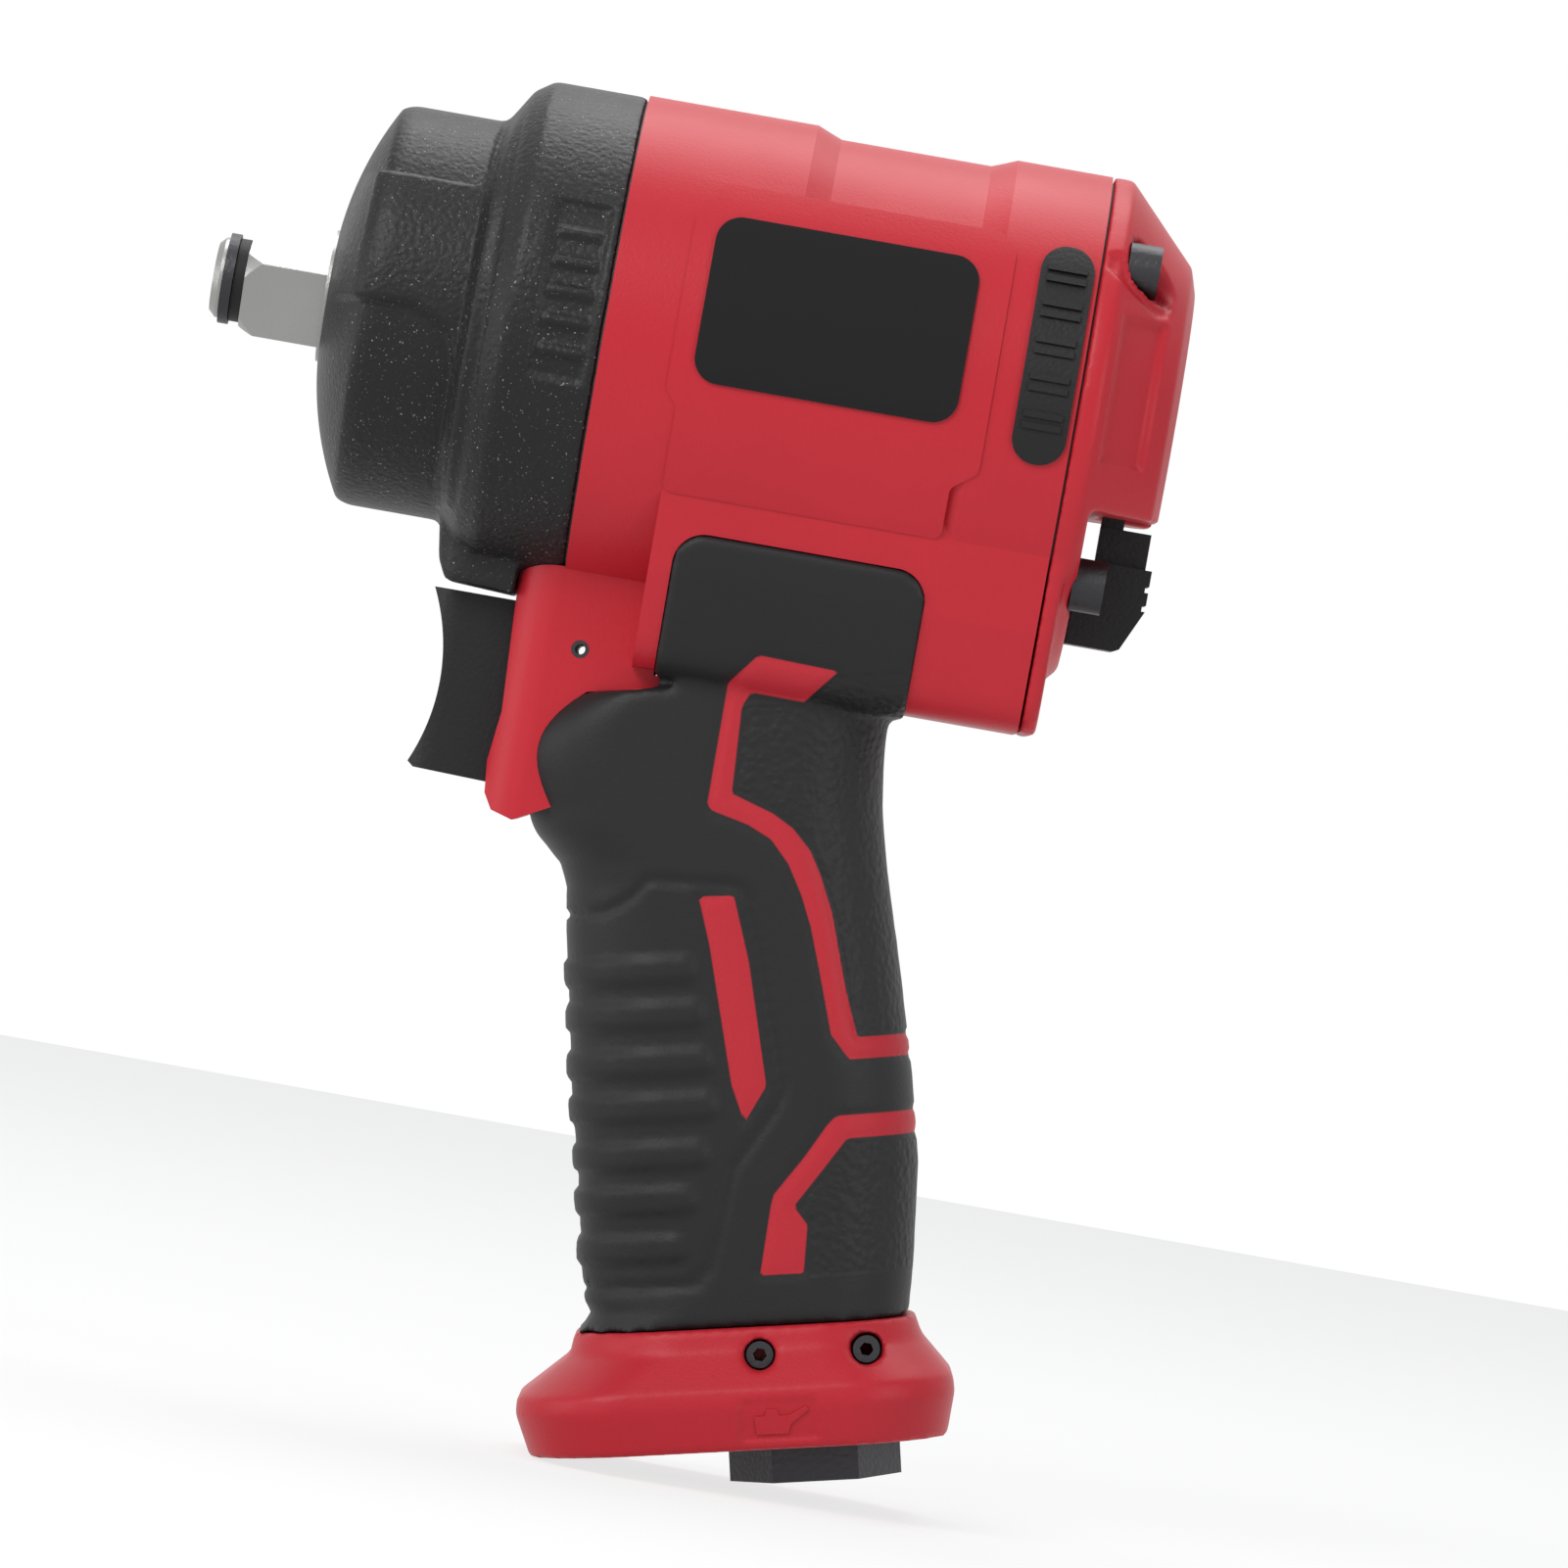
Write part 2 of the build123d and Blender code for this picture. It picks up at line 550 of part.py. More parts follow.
with BuildPart() as strip_ribs:
    rod_x(110, 118.5, rib_radius)
    rod_x(110, 118.5, barrel_radius + press_fit, mode=Mode.SUBTRACT)
    with BuildSketch(Plane.XZ) as rib_rows:
        for rib_z in (22, 16.3, 10.4, 4.5, -1.4):
            with Locations((114.25, rib_z + 0.9), (114.25, rib_z - 0.9)):
                Rectangle(6.2, 1.0)
    extrude(rib_rows.sketch, amount=50, both=True, mode=Mode.INTERSECT)

with BuildPart() as side_strips:
    rod_x(110, 118.5, trim_radius - 0.2)
    rod_x(110, 118.5, barrel_radius + press_fit, mode=Mode.SUBTRACT)
    with BuildSketch(Plane.XZ) as strip:
        with Locations((114.25, 9.15)):
            RectangleRounded(8.4, 34.6, 4)
    extrude(strip.sketch, amount=50, both=True, mode=Mode.INTERSECT)
    add(strip_ribs.part)

pieces = {
    "hammer_case": hammer_case, "anvil_bushing": anvil_bushing, "anvil": anvil, "socket_ring": socket_ring,
    "ring_cushion": ring_cushion, "hammer_frame": hammer_frame, "hammer_pins": hammer_pins,
    "front_hammer": front_hammer, "rear_hammer": rear_hammer, "rotor": rotor, "vanes": vanes, "cylinder": cylinder,
    "front_end_plate": front_end_plate, "rear_end_plate": rear_end_plate, "front_bearing": front_bearing,
    "rear_bearing": rear_bearing, "motor_housing": motor_housing, "grip_overmold": grip_overmold,
    "front_gasket": front_gasket, "rear_gasket": rear_gasket, "rear_cover": rear_cover,
    "through_bolts": through_bolts, "reverse_bushing": reverse_bushing, "reverse_valve": reverse_valve,
    "reverse_lever": reverse_lever, "trigger": trigger, "trigger_pin": trigger_pin, "trigger_rod": trigger_rod,
    "throttle_bushing": throttle_bushing, "throttle_valve": throttle_valve, "throttle_spring": throttle_spring,
    "exhaust_deflector": exhaust_deflector, "muffler_felt": muffler_felt, "deflector_screws": deflector_screws,
    "inlet_bushing": inlet_bushing, "label_plates": label_plates, "side_strips": side_strips,
}
for piece_name, piece in pieces.items():
    piece.part.label = piece_name
    export_step(piece.part, f"parts/{piece_name}.step")
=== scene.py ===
# %% [markdown]
# # A compact air impact wrench
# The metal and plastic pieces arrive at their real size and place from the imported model. This lesson
# gives them their finishes, and puts the moulded and cast relief into the rubber grip, the hammer case,
# the rear cover and the foot. Lengths in Blender are metres, so `mm` turns a drawing size into a scene size.

# %% Load the frame
import json
import math

import bpy
import numpy as np
from mathutils import Matrix, Vector


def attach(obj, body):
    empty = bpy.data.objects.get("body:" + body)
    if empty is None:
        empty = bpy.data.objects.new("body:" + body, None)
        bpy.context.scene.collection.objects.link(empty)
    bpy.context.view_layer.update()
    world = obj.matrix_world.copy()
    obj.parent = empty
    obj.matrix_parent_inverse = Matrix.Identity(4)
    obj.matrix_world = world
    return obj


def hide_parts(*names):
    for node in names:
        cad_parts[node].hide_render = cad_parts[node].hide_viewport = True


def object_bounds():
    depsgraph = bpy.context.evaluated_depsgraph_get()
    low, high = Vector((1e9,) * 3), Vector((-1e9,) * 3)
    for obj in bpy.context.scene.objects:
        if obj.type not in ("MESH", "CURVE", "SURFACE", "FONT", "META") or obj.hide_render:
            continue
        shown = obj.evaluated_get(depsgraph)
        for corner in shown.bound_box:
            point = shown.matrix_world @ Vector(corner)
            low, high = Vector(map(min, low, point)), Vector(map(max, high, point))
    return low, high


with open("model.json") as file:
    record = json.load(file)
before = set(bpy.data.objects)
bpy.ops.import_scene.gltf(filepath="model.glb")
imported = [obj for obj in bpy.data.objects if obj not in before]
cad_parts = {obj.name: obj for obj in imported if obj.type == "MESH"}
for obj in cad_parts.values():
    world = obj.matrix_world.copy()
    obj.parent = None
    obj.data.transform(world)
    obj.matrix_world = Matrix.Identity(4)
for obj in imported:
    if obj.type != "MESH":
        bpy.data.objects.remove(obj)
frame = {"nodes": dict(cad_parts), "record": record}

mm = 0.001
cad_box = [list(corner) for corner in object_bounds()]
print("nodes", len(frame["nodes"]), "box", cad_box)

# %% [markdown]
# ## Camera and light
# A tool this small is pictured with a long lens from a good distance, which keeps its sides parallel.
# The view leans ten degrees about its own axis, so the camera gets its matrix from three directions.

# %% Camera
lean = math.radians(10)
view_distance = 1.8
view_width = 248.2 * mm
aim = Vector((84.65 * mm, 0, -63.56 * mm))
right = Vector((math.cos(lean), 0, math.sin(lean)))
up = Vector((-math.sin(lean), 0, math.cos(lean)))
back = right.cross(up)
bpy.ops.object.camera_add()
camera = bpy.context.object
turn = Matrix((right, up, back)).transposed().to_4x4()
camera.matrix_world = Matrix.Translation(aim + back * view_distance) @ turn
camera.data.lens = camera.data.sensor_width * view_distance / view_width
bpy.context.scene.camera = camera
bpy.context.scene.view_settings.view_transform = "Standard"
print("lens", round(camera.data.lens))

# %% [markdown]
# Large soft lamps stand for a studio's light boxes: they draw the long pale highlights along rounded
# plastic edges. The world is dim for light but white to the camera and to reflections.

# %% Lamps and world
def lamp(place, size, power):
    """One square light box that faces the tool."""
    bpy.ops.object.light_add(type="AREA", location=place)
    box = bpy.context.object
    box.data.size = size
    box.data.energy = power
    box.rotation_euler = (aim - Vector(place)).to_track_quat("-Z", "Y").to_euler()


lamps = {
    "key": ((-0.45, -0.85, 0.65), 0.6, 8),
    "fill": ((0.85, -0.75, 0.25), 0.5, 2.5),
    "top": ((0.1, 0.35, 0.95), 0.8, 8),
    "nose": ((-0.7, -0.25, -0.05), 0.5, 1.8),
}
for place, size, power in lamps.values():
    lamp(place, size, power)
print("lamps", list(lamps))


def seen_directly(nodes, links):
    """1 for rays from the camera, reflections and glass, 0 for rays that light things."""
    path = nodes.new("ShaderNodeLightPath")
    total = path.outputs["Is Camera Ray"]
    for name in ("Is Glossy Ray", "Is Transmission Ray"):
        pick = nodes.new("ShaderNodeMath")
        pick.operation = "MAXIMUM"
        links.new(total, pick.inputs[0])
        links.new(path.outputs[name], pick.inputs[1])
        total = pick.outputs[0]
    return total


world = bpy.data.worlds.new("studio")
bpy.context.scene.world = world
world.use_nodes = True
nodes, links = world.node_tree.nodes, world.node_tree.links
nodes.clear()
fill_strength = 0.28
dim, white = nodes.new("ShaderNodeBackground"), nodes.new("ShaderNodeBackground")
dim.inputs["Color"].default_value = (0.9, 0.95, 1, 1)
dim.inputs["Strength"].default_value = fill_strength
white.inputs["Color"].default_value = (1, 1, 1, 1)
choose, world_out = nodes.new("ShaderNodeMixShader"), nodes.new("ShaderNodeOutputWorld")
links.new(seen_directly(nodes, links), choose.inputs[0])
links.new(dim.outputs[0], choose.inputs[1])
links.new(white.outputs[0], choose.inputs[2])
links.new(choose.outputs[0], world_out.inputs[0])

# %% [markdown]
# The floor lies at the tool's lowest point. To the camera it glows a little, so that it fades into the
# white behind it, and what is left of its plain surface keeps the tool's shadow.

# %% Floor
floor_size = 3
floor_glow = 0.75
bpy.ops.object.select_all(action="DESELECT")
bpy.ops.mesh.primitive_plane_add(size=floor_size, location=(0, 0, cad_box[0][2]))
floor = bpy.context.object
floor.name = "studio_floor"
floor_finish = bpy.data.materials.new("studio_floor")
floor_finish.use_nodes = True
nodes, links = floor_finish.node_tree.nodes, floor_finish.node_tree.links
nodes["Principled BSDF"].inputs["Base Color"].default_value = (0.85, 0.85, 0.85, 1)
nodes["Principled BSDF"].inputs["Roughness"].default_value = 0.9
glow, blend = nodes.new("ShaderNodeEmission"), nodes.new("ShaderNodeMixShader")
share = nodes.new("ShaderNodeMath")
share.operation = "MULTIPLY"
share.inputs[1].default_value = floor_glow
links.new(seen_directly(nodes, links), share.inputs[0])
links.new(share.outputs[0], blend.inputs[0])
links.new(nodes["Principled BSDF"].outputs[0], blend.inputs[1])
links.new(glow.outputs[0], blend.inputs[2])
links.new(blend.outputs[0], nodes["Material Output"].inputs[0])
floor.data.materials.append(floor_finish)
print("floor at", round(cad_box[0][2] / mm, 1), "mm")

# %% [markdown]
# ## Finishes
# Moulded plastic, powder coat and rubber all have the same two layers: a fine grain that the mould or
# the powder leaves, and broad faint patches where hands have polished it. One node group holds both,
# and each finish places it with its own grain size. It puts out a height and a patch value only.

# %% The shared grain group
patch_scale = 45


def make_grain_group():
    """Fine grain height plus a broad patch value, both from object coordinates."""
    group = bpy.data.node_groups.new("surface_grain", "ShaderNodeTree")
    group.interface.new_socket(name="Vector", in_out="INPUT", socket_type="NodeSocketVector")
    group.interface.new_socket(name="Grain Scale", in_out="INPUT", socket_type="NodeSocketFloat")
    group.interface.new_socket(name="Height", in_out="OUTPUT", socket_type="NodeSocketFloat")
    group.interface.new_socket(name="Patches", in_out="OUTPUT", socket_type="NodeSocketFloat")
    start, end = group.nodes.new("NodeGroupInput"), group.nodes.new("NodeGroupOutput")
    pebbles, fine = group.nodes.new("ShaderNodeTexVoronoi"), group.nodes.new("ShaderNodeTexNoise")
    pebbles.feature = "SMOOTH_F1"
    broad, total = group.nodes.new("ShaderNodeTexNoise"), group.nodes.new("ShaderNodeMath")
    broad.inputs["Scale"].default_value = patch_scale
    broad.inputs["Detail"].default_value = 4
    fine.inputs["Detail"].default_value = 3
    for texture in (pebbles, fine, broad):
        group.links.new(start.outputs["Vector"], texture.inputs["Vector"])
    for texture in (pebbles, fine):
        group.links.new(start.outputs["Grain Scale"], texture.inputs["Scale"])
    total.operation = "ADD"
    group.links.new(pebbles.outputs["Distance"], total.inputs[0])
    group.links.new(fine.outputs[0], total.inputs[1])
    group.links.new(total.outputs[0], end.inputs["Height"])
    group.links.new(broad.outputs[0], end.inputs["Patches"])
    return group


grain_group = make_grain_group()


# %% [markdown]
# A finish is then a colour, a gloss and a grain. Its colour drifts a little between two close shades
# and its gloss follows the same patches, because a surface that is evenly coloured looks like paint
# in a drawing. Metal is turned or ground, so its grain is finer and its gloss is higher.

# %% Finish builder
speck_scale = 2600
speck_start, speck_full = 0.68, 0.74
gloss_spread = 0.06


def finish(name, colour, rough, grain_scale, bump_depth, metal=0.0, coat=0.0, shade=0.8, specks=False):
    """A Principled material with grain, patchy gloss and, on powder coat, tiny bright specks."""
    material = bpy.data.materials.new(name)
    material.use_nodes = True
    nodes, links = material.node_tree.nodes, material.node_tree.links
    shader = nodes["Principled BSDF"]
    shader.inputs["Metallic"].default_value = metal
    shader.inputs["Coat Weight"].default_value = coat
    shader.inputs["Coat Roughness"].default_value = 0.08
    shader.inputs["Specular IOR Level"].default_value = 0.5 if metal else 0.25
    place, grain = nodes.new("ShaderNodeTexCoord"), nodes.new("ShaderNodeGroup")
    grain.name, grain.node_tree = "grain", grain_group
    grain.inputs["Grain Scale"].default_value = grain_scale
    links.new(place.outputs["Object"], grain.inputs["Vector"])
    shades = nodes.new("ShaderNodeMix")
    shades.name, shades.data_type = "shades", "RGBA"
    shades.inputs["A"].default_value = (*[c * shade for c in colour], 1)
    shades.inputs["B"].default_value = (*colour, 1)
    links.new(grain.outputs["Patches"], shades.inputs["Factor"])
    colour_out = shades.outputs["Result"]
    if specks:
        spots, narrow, sparkle = (nodes.new("ShaderNodeTexNoise"), nodes.new("ShaderNodeMapRange"),
                                  nodes.new("ShaderNodeMix"))
        spots.inputs["Scale"].default_value = speck_scale
        narrow.inputs["From Min"].default_value = speck_start
        narrow.inputs["From Max"].default_value = speck_full
        sparkle.data_type = "RGBA"
        sparkle.inputs["B"].default_value = (0.3, 0.3, 0.3, 1)
        links.new(place.outputs["Object"], spots.inputs["Vector"])
        links.new(spots.outputs[0], narrow.inputs["Value"])
        links.new(narrow.outputs[0], sparkle.inputs["Factor"])
        links.new(colour_out, sparkle.inputs["A"])
        colour_out = sparkle.outputs["Result"]
    links.new(colour_out, shader.inputs["Base Color"])
    gloss = nodes.new("ShaderNodeMapRange")
    gloss.inputs["To Min"].default_value = rough + gloss_spread
    gloss.inputs["To Max"].default_value = rough - gloss_spread
    links.new(grain.outputs["Patches"], gloss.inputs["Value"])
    links.new(gloss.outputs[0], shader.inputs["Roughness"])
    bump = nodes.new("ShaderNodeBump")
    bump.name = "bump"
    bump.inputs["Distance"].default_value = bump_depth * mm
    bump.inputs["Strength"].default_value = 0.7
    links.new(grain.outputs["Height"], bump.inputs["Height"])
    links.new(bump.outputs[0], shader.inputs["Normal"])
    return material


finishes = {
    "black_case": finish("powder_coat", (0.011, 0.011, 0.012), 0.44, 1150, 0.16, specks=True),
    "red_shell": finish("red_plastic", (0.50, 0.018, 0.030), 0.42, 2200, 0.03, shade=0.86),
    "grip_rubber": finish("grip_rubber", (0.014, 0.014, 0.015), 0.50, 2400, 0.04),
    "trim_black": finish("trim_plastic", (0.010, 0.010, 0.011), 0.45, 1700, 0.06),
    "label_gloss": finish("label_gloss", (0.004, 0.004, 0.005), 0.14, 900, 0.003),
    "anvil_steel": finish("satin_steel", (0.36, 0.36, 0.35), 0.36, 2500, 0.03, metal=1.0),
    "dark_steel": finish("blackened_steel", (0.05, 0.05, 0.054), 0.42, 1300, 0.08, metal=0.85),
    "bright_steel": finish("ground_steel", (0.55, 0.55, 0.56), 0.28, 2500, 0.02, metal=1.0),
    "bronze": finish("sintered_bronze", (0.5, 0.36, 0.17), 0.4, 1500, 0.05, metal=1.0),
    "cast_alloy": finish("machined_alloy", (0.6, 0.6, 0.61), 0.32, 1500, 0.03, metal=1.0),
    "black_rubber": finish("ring_rubber", (0.012, 0.012, 0.012), 0.55, 1500, 0.03),
    "vane_resin": finish("vane_resin", (0.25, 0.14, 0.06), 0.5, 1500, 0.03),
    "gasket_sheet": finish("gasket_sheet", (0.06, 0.06, 0.06), 0.6, 1200, 0.05),
    "felt": finish("felt", (0.32, 0.32, 0.3), 0.9, 900, 0.4),
}

# %% [markdown]
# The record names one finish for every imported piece, so each piece looks its own up.

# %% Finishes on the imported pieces
slots = {part["node"]: part["material_slot"] for part in frame["record"]["subparts"]}
for node, piece in frame["nodes"].items():
    if not piece.material_slots:
        piece.data.materials.append(finishes[slots[node]])
    for place in piece.material_slots:
        place.material = finishes[slots[node]]
print("finishes", len(finishes))

# %% [markdown]
# ## The rubber grip
# The grip is one piece of rubber moulded round the handle. Its finger ribs, its outline groove and
# the beds of its red inlays are shallow steps in a smooth skin. They could be made as separate strips,
# but then every strip would have to bend with the handle. Here each point of an even mesh moves in or
# out by how far it lies from the drawn outlines. The outlines are drawn in the handle's own
# directions: u to the rear and w up, in millimetres.

# %% Handle frame and outlines
rake = math.radians(13)
handle_x = 69.0
finger_ribs = [(-91.5, -95.5, -14.5), (-98.5, -102.5, -13.5), (-106, -110, -12.8), (-113, -117, -12.3),
               (-120.5, -124.5, -14), (-127.5, -131.5, -16.5), (-135, -139, -18.5)]
finger_field = [(-60, -85), (-28, -84), (-24, -82), (-21, -79.2), (-7, -81), (-5.5, -83), (-4, -92),
                (-2, -108), (-1.5, -113), (-3, -116), (-10, -125), (-12, -131), (-14.5, -140), (-17, -143), (-60, -143)]
upper_inlay = [(10.3, -48.5), (-2, -45.3), (-7, -49.5), (-11.2, -68), (-10.5, -69), (-5, -71.5), (-1.5, -74),
               (1, -78), (2.8, -83), (4, -88), (5, -95), (6.3, -105), (9, -109), (60, -109), (60, -105.6),
               (10.5, -105.6), (9, -98), (7.5, -86), (6, -80), (4.5, -76), (2, -72.5), (-1, -70),
               (-7.3, -66.5), (-5, -53), (-3.5, -51), (4.8, -53)]
lower_inlay = [(6.5, -117.7), (60, -117.3), (60, -121), (8, -121.3), (-1, -131.5), (1, -134.5), (0, -142),
               (-6.8, -142), (-4.5, -131), (-4, -129.5), (1, -124), (5, -119)]
strip_inlay = [(-13.3, -82.3), (-7.8, -82.5), (-6, -93), (-4.3, -112.5), (-8, -118), (-9.7, -112), (-12, -90)]
upper_pebbles = [(10.3, -49), (60, -49), (60, -105), (10, -105), (7.8, -86), (4.8, -76), (-1, -69.5),
                 (-6.6, -66), (-4.4, -53), (4.8, -53.5)]
lower_pebbles = [(8.2, -122), (60, -122), (60, -142.5), (1, -142.5), (1.6, -134.5), (-0.2, -131.5)]


# %% [markdown]
# `outline_distance` measures how far every point lies from an outline, below zero inside it. Kept on
# the mesh as an attribute, that distance gives the finish a border as crisp as the drawing, however
# coarse the mesh is.

# %% Distance to an outline
def outline_distance(points, outline):
    """Signed distance in mm from each (u, w) point to a closed outline, negative inside."""
    corners = np.array(outline, dtype=float)
    nearest = np.full(len(points), 1e9)
    inside = np.zeros(len(points), dtype=bool)
    for a, b in zip(corners, np.roll(corners, -1, axis=0)):
        along = np.clip(((points - a) @ (b - a)) / ((b - a) @ (b - a)), 0, 1)
        nearest = np.minimum(nearest, np.linalg.norm(points - a - along[:, None] * (b - a), axis=1))
        crosses = (a[1] > points[:, 1]) != (b[1] > points[:, 1])
        rise = np.where(b[1] == a[1], 1e-9, b[1] - a[1])
        inside ^= crosses & (points[:, 0] < (b[0] - a[0]) * (points[:, 1] - a[1]) / rise + a[0])
    return np.where(inside, -nearest, nearest)


def ramp(values, low, high):
    """0 below low, 1 above high, and a smooth rise between them."""
    t = np.clip((values - low) / (high - low), 0, 1)
    return t * t * (3 - 2 * t)


# %% [markdown]
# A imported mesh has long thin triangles, which relief can't bend. A voxel remesh gives a copy small even
# faces, and a little smoothing then takes the voxels' steps away and rounds the edges as a mould does.

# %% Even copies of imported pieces
def even_copy(node, name, voxel):
    """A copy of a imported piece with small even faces, ready for relief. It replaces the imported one."""
    bpy.ops.object.select_all(action="DESELECT")
    packed = frame["nodes"][node]
    packed.select_set(True)
    bpy.context.view_layer.objects.active = packed
    bpy.ops.object.duplicate()
    piece = bpy.context.object
    piece.name = name
    bpy.ops.object.mode_set(mode="EDIT")
    bpy.ops.mesh.select_all(action="SELECT")
    bpy.ops.mesh.remove_doubles(threshold=0.005 * mm)
    bpy.ops.object.mode_set(mode="OBJECT")
    remesh = piece.modifiers.new("even_mesh", "REMESH")
    remesh.mode, remesh.voxel_size = "VOXEL", voxel * mm
    bpy.ops.object.modifier_apply(modifier="even_mesh")
    relax = piece.modifiers.new("relax", "SMOOTH")
    relax.factor, relax.iterations = 0.5, 4
    bpy.ops.object.modifier_apply(modifier="relax")
    bpy.ops.object.shade_smooth()
    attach(piece, "root")
    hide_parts(node)
    print(name, "points", len(piece.data.vertices))
    return piece


def read_points(piece):
    """Every point of a mesh in mm, and its outward direction."""
    rows = []
    for key, scale in (("co", mm), ("normal", 1)):
        values = np.empty(len(piece.data.vertices) * 3)
        piece.data.vertices.foreach_get(key, values)
        rows.append(values.reshape(-1, 3) / scale)
    return rows


def write_points(piece, spots):
    """Puts every point where the relief says, in mm."""
    piece.data.vertices.foreach_set("co", (spots * mm).ravel())
    piece.data.update()


def handle_drawing(spots):
    """The (u, w) place of each point in the handle's own directions."""
    x, z = spots[:, 0] - handle_x, spots[:, 2]
    rearward = x * math.cos(rake) + z * math.sin(rake)
    upward = z * math.cos(rake) - x * math.sin(rake)
    return np.stack([rearward, upward], axis=1)


# %% [markdown]
# A hand fills the grip evenly, so its front and back edges are drawn as two gentle lines. The copy's
# edges are measured slice by slice, and the outer skin is eased out or in until it meets those lines.

# %% Grip outline
grip = even_copy("grip_overmold", "rubber_grip", 0.85)
spots, normals = read_points(grip)
drawing = handle_drawing(spots)
u, w = drawing.T
skin = ramp(normals[:, 0] * math.cos(rake) * (u + 9) + normals[:, 1] * spots[:, 1], 0, 4)
front_line = [(-150, -35.8), (-125, -35.2), (-92, -34.7), (-80, -34.4), (-76, -35.3), (-73, -37.5),
              (-69, -41)]
rear_line = [(-150, 16.3), (-142, 17.5), (-126, 19), (-112, 18.8), (-95, 17.8), (-80, 16.6),
             (-66, 16), (-60, 16.5)]
slices = np.arange(-149, -66, 2.0)
eased = ramp(-w, 66, 76)
shift = np.zeros(len(u))
for line, side in ((front_line, -1), (rear_line, 1)):
    now = [side * np.max(side * u[(np.abs(w - level) < 1.5) & (np.abs(spots[:, 1]) < 8)]) for level in slices]
    wanted = np.interp(w, *np.array(line).T)
    shift += (wanted - np.interp(w, slices, now)) * ramp(side * (u + 9), 0, 22)
move = shift * skin * eased
spots += move[:, None] * np.array([math.cos(rake), 0, math.sin(rake)])
write_points(grip, spots)
print("largest move", round(float(np.abs(move).max()), 1), "mm")

# %% [markdown]
# Ribs stand out of the skin, and the outline groove and the joints round the inlays sink into it. The
# distances to the inlays and to the pebbled fields stay on the mesh for the grip's finish.

# %% Ribs, grooves and inlay beds
spots, normals = read_points(grip)
drawing = handle_drawing(spots)
relief = np.zeros(len(spots))
rib_height, groove_depth, inlay_joint_depth = 0.75, 0.55, 0.3
for top, bottom, end in finger_ribs:
    rib = outline_distance(drawing, [(-60, top), (end - 1, top), (end, top - 1), (end, bottom + 1),
                                     (end - 1, bottom), (-60, bottom)])
    relief += rib_height * ramp(-rib, -0.5, 0.6)
relief -= groove_depth * ramp(-np.abs(outline_distance(drawing, finger_field)), -1.0, -0.3)
inlay = np.minimum.reduce([outline_distance(drawing, o) for o in (upper_inlay, lower_inlay, strip_inlay)])
relief -= inlay_joint_depth * ramp(-np.abs(inlay), -0.9, -0.2)
pebbled = np.minimum(outline_distance(drawing, upper_pebbles), outline_distance(drawing, lower_pebbles))
write_points(grip, spots + normals * (relief * skin)[:, None])
for name, values in (("inlay_distance", inlay), ("pebble_distance", pebbled)):
    layer = grip.data.attributes.new(name, "FLOAT", "POINT")
    layer.data.foreach_set("value", values)
print("relief from", round(float(relief.min()), 2), "to", round(float(relief.max()), 2), "mm")

# %% [markdown]
# ## Relief on the shells
# The hammer case is cast with a raised pad along each side and a small ribbed patch on its flange.
# The rear cover has a shallow panel and an oval groove, and the foot has a small sunk panel for its oil
# sign. Each is a step of under two millimetres, so it is drawn as an outline too, seen from the side.
# `sideways` keeps the steps to the flanks.

# %% Side relief
def side_relief(piece, steps, drawn=lambda spots: spots[:, [0, 2]], soft=0.5):
    """Moves the flanks of a piece by the (outline, height) steps, seen from the side."""
    spots, normals = read_points(piece)
    places = drawn(spots)
    sideways = ramp(normals[:, 1] * np.sign(spots[:, 1]), 0.15, 0.5) * ramp(np.abs(spots[:, 1]), 8, 12)
    relief = np.zeros(len(spots))
    for outline, height in steps:
        relief += height * ramp(-outline_distance(places, outline), -soft, soft)
    write_points(piece, spots + normals * (relief * sideways)[:, None])


def rectangle(low_a, high_a, low_b, high_b):
    """Four corners of an upright rectangle."""
    return [(low_a, low_b), (high_a, low_b), (high_a, high_b), (low_a, high_b)]


# %% Hammer case
shell_voxel = 0.62
case = even_copy("hammer_case", "hammer_case_cast", shell_voxel)
side_pad = [(1, -1), (15, 0), (21, -3), (23, -9), (23.4, -30), (26, -30), (26, 34), (23.6, 34), (23, 22),
            (21, 19.5), (1, 19.5)]
flange_ribs = [(rectangle(35.3, 42.2, z - 0.8, z + 0.8), 0.9) for z in (15.2, 10.5, 5.8, 1.1, -3.6)]
side_relief(case, [(side_pad, 1.5), (rectangle(34.5, 43, -8, 20), -0.9)] + flange_ribs)

# %% Rear cover
cover = even_copy("rear_cover", "rear_cover_moulded", shell_voxel)
oval = [(120.5, 24.5), (129.5, 18.2), (131, 18.6), (131.3, 20.2), (122, 27), (120.6, 26.6)]
side_relief(cover, [(rectangle(124.5, 131, -6, 17), -0.9), (oval, -0.8)])

# %% Foot panel
foot = even_copy("exhaust_deflector", "foot_moulded", shell_voxel)
side_relief(foot, [(rectangle(-11, 1, -167.6, -161.2), -0.5)], drawn=handle_drawing, soft=0.3)

# %% [markdown]
# An oil can is the usual sign for the place where an air tool takes oil. It is thinner than the foot's
# mesh can hold, so it is a little plate of its own: a filled ring of points set on the outline, pulled
# out to half a millimetre and softened by a bevel.

# %% The oil sign on the foot
can_outline = [(-8.6, -166.6), (-3.6, -166.6), (-3.2, -165.2), (-0.2, -162.9), (-0.7, -162.3), (-3.4, -163.7),
               (-4.9, -163.7), (-5.2, -162.6), (-6.9, -162.6), (-7.2, -163.7), (-8.9, -163.7)]
sign_depth = 0.5


def foot_side(w):
    """How far the sunk panel lies from the middle plane at height w."""
    return 28.45 - (-162 - w) * 0.2


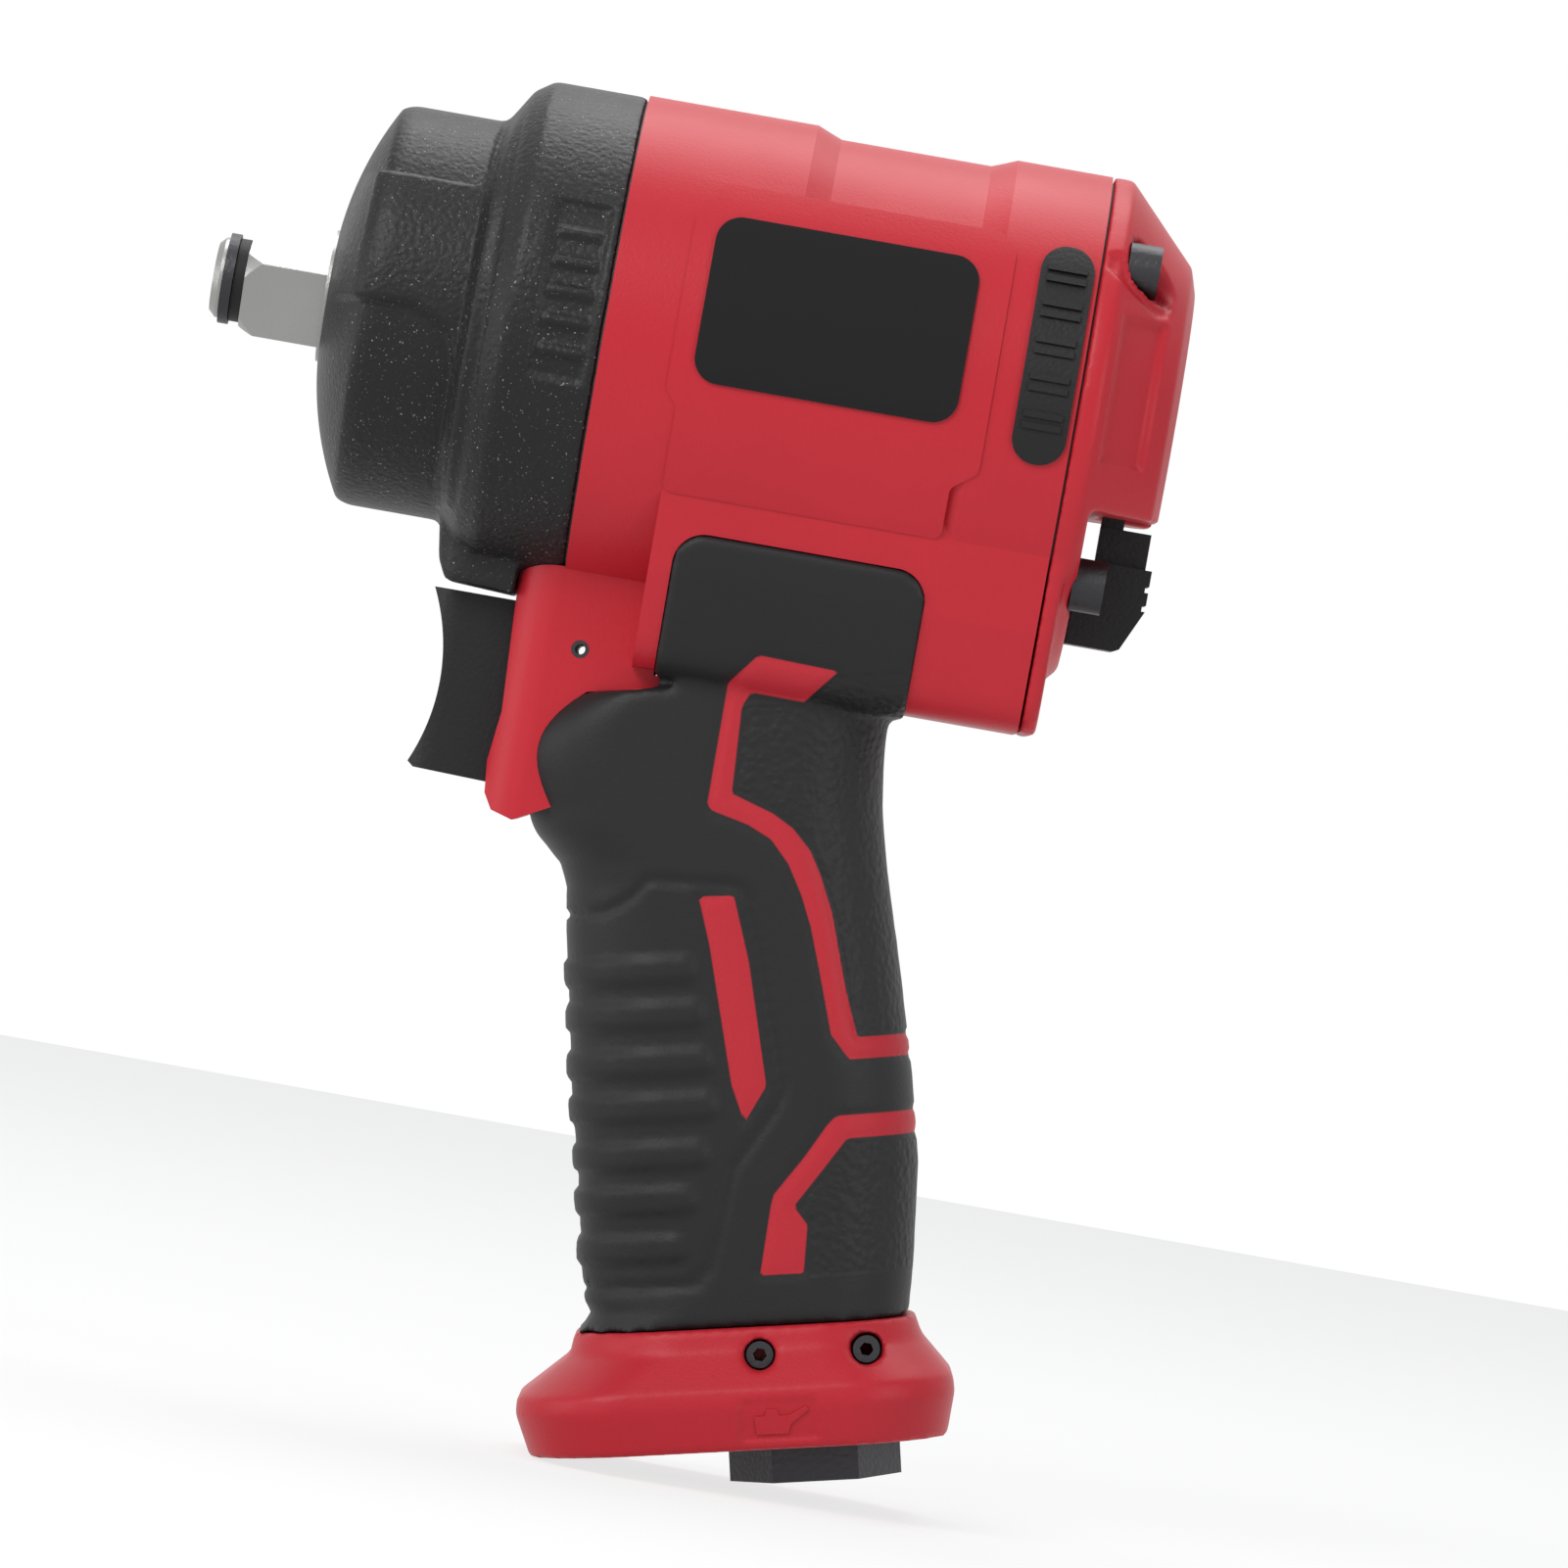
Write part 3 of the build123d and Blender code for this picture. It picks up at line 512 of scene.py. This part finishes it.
for side, name in ((-1, "oil_sign_left"), (1, "oil_sign_right")):
    bpy.ops.object.select_all(action="DESELECT")
    bpy.ops.mesh.primitive_circle_add(vertices=len(can_outline), radius=5 * mm, fill_type="NGON")
    sign = bpy.context.object
    sign.name = name
    for point, (u_sign, w_sign) in zip(sign.data.vertices, can_outline):
        point.co = (Vector((handle_x + u_sign * math.cos(rake) - w_sign * math.sin(rake),
                            side * (foot_side(w_sign) - 0.1),
                            u_sign * math.sin(rake) + w_sign * math.cos(rake))) * mm)
    bpy.ops.object.mode_set(mode="EDIT")
    bpy.ops.mesh.select_all(action="SELECT")
    bpy.ops.mesh.extrude_region_move(TRANSFORM_OT_translate={"value": (0, side * sign_depth * mm, 0)})
    bpy.ops.mesh.select_all(action="SELECT")
    bpy.ops.mesh.normals_make_consistent(inside=False)
    bpy.ops.object.mode_set(mode="OBJECT")
    soften = sign.modifiers.new("soften", "BEVEL")
    soften.width, soften.segments = 0.12 * mm, 2
    bpy.ops.object.modifier_apply(modifier="soften")
    sign.data.materials.append(finishes["red_shell"])
    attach(sign, "root")
print("oil signs done")

# %% [markdown]
# ## The grip's finish
# It reads the two distances kept on the grip. Inside an inlay it turns to the shell's red, and in the
# pebbled fields a coarser bump joins the fine rubber grain.

# %% Grip finish
grip_finish = finishes["grip_rubber"].copy()
grip_finish.name = "grip_rubber_inlaid"
nodes, links = grip_finish.node_tree.nodes, grip_finish.node_tree.links


def distance_mask(attribute, border):
    """1 inside an outline and 0 outside, from the stored distance."""
    stored, mask = nodes.new("ShaderNodeAttribute"), nodes.new("ShaderNodeMapRange")
    stored.attribute_name = attribute
    mask.inputs["From Min"].default_value, mask.inputs["From Max"].default_value = border, -border
    links.new(stored.outputs["Fac"], mask.inputs["Value"])
    return mask.outputs[0]


pebble_scale, pebble_height = 850, -9.0
tint = nodes.new("ShaderNodeMix")
tint.data_type = "RGBA"
tint.inputs["B"].default_value = (0.46, 0.02, 0.032, 1)
links.new(distance_mask("inlay_distance", 0.12), tint.inputs["Factor"])
links.new(nodes["shades"].outputs["Result"], tint.inputs["A"])
links.new(tint.outputs["Result"], nodes["Principled BSDF"].inputs["Base Color"])
pebbles = nodes.new("ShaderNodeTexVoronoi")
pebbles.feature = "SMOOTH_F1"
pebbles.inputs["Scale"].default_value = pebble_scale
links.new(nodes["Texture Coordinate"].outputs["Object"], pebbles.inputs["Vector"])
shown, both = nodes.new("ShaderNodeMath"), nodes.new("ShaderNodeMath")
shown.operation = "MULTIPLY"
links.new(pebbles.outputs["Distance"], shown.inputs[0])
links.new(distance_mask("pebble_distance", 0.3), shown.inputs[1])
both.operation = "MULTIPLY_ADD"
both.inputs[1].default_value = pebble_height
links.new(shown.outputs[0], both.inputs[0])
links.new(nodes["grain"].outputs["Height"], both.inputs[2])
links.new(both.outputs[0], nodes["bump"].inputs["Height"])
grip.data.materials.clear()
grip.data.materials.append(grip_finish)
print("grip inlays and pebbles done")
